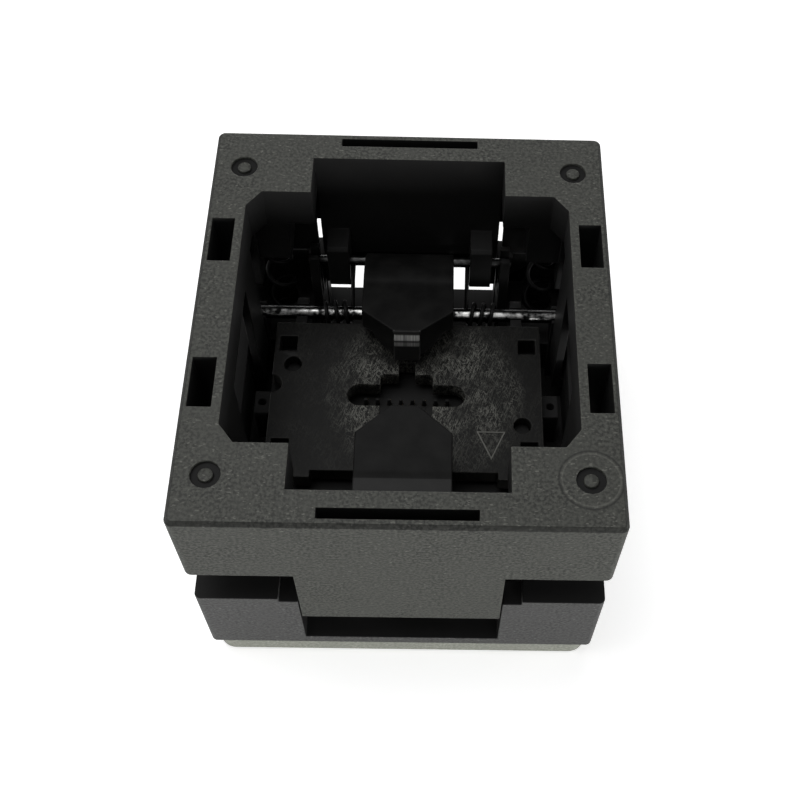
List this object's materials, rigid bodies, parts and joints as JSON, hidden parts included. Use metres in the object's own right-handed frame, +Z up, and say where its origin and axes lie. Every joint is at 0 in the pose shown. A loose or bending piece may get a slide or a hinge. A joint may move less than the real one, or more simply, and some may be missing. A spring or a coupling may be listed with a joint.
{
  "type": "ic test socket",
  "caption": "Open-top test socket for flat chip packages: press-down spring cover frame, front and rear swinging latches, floating nest plate over stamped contacts.",
  "frame": {"origin": "centre of the underside of the lower plate", "axes": "+X to the right, +Y to the rear, +Z up through the open top"},
  "size_m": [0.032, 0.0364, 0.0247],
  "materials": {
    "moulded_body": "matte",
    "moulded_dark": "satin",
    "moulded_pale": "matte",
    "plated_steel": "satin",
    "spring_steel": "satin",
    "gold_plated": "satin"
  },
  "bodies": {
    "base": {"base_housing": "moulded_body", "lower_plate": "moulded_pale", "plate_screws": "plated_steel", "contact_block": "moulded_body", "contacts": "gold_plated", "nest_guide_pins": "plated_steel", "pivot_shaft_front": "plated_steel", "pivot_shaft_rear": "plated_steel", "cover_spring_front_left": "spring_steel", "cover_spring_front_right": "spring_steel", "cover_spring_rear_left": "spring_steel", "cover_spring_rear_right": "spring_steel", "torsion_spring_front_left": "spring_steel", "torsion_spring_front_right": "spring_steel", "torsion_spring_rear_left": "spring_steel", "torsion_spring_rear_right": "spring_steel", "nest_spring_left": "spring_steel", "nest_spring_right": "spring_steel"},
    "cover": {"cover_frame": "moulded_body", "drive_pin_front": "plated_steel", "drive_pin_rear": "plated_steel"},
    "front_latch": {"latch_front": "moulded_dark"},
    "rear_latch": {"latch_rear": "moulded_dark"},
    "nest": {"nest_plate": "moulded_dark"}
  },
  "joints": [
    {"name": "cover_press", "type": "slide", "parent": "base", "child": "cover", "axis": [0, 0, -1], "range_m": [0, 0.0044], "stiffness_N_per_m": 3000, "springref_m": -0.003, "deforming": ["cover_spring_front_left", "cover_spring_front_right", "cover_spring_rear_left", "cover_spring_rear_right"]},
    {"name": "latch_front_swing", "type": "hinge", "parent": "base", "child": "front_latch", "pos_m": [0, -0.0098, 0.01075], "axis": [1, 0, 0], "range_deg": [0, 58.17], "deforming": ["torsion_spring_front_left", "torsion_spring_front_right"]},
    {"name": "latch_rear_swing", "type": "hinge", "parent": "base", "child": "rear_latch", "pos_m": [0, 0.0098, 0.01075], "axis": [-1, 0, 0], "range_deg": [0, 58.17], "deforming": ["torsion_spring_rear_left", "torsion_spring_rear_right"]},
    {"name": "nest_float", "type": "slide", "parent": "base", "child": "nest", "axis": [0, 0, -1], "range_m": [0, 0.0004], "stiffness_N_per_m": 2000, "springref_m": -0.0005, "deforming": ["nest_spring_left", "nest_spring_right"]}
  ],
  "couplings": [
    {"joint": "latch_front_swing", "follows": "cover_press", "rad_per_m": 230.55},
    {"joint": "latch_rear_swing", "follows": "cover_press", "rad_per_m": 230.55}
  ]
}
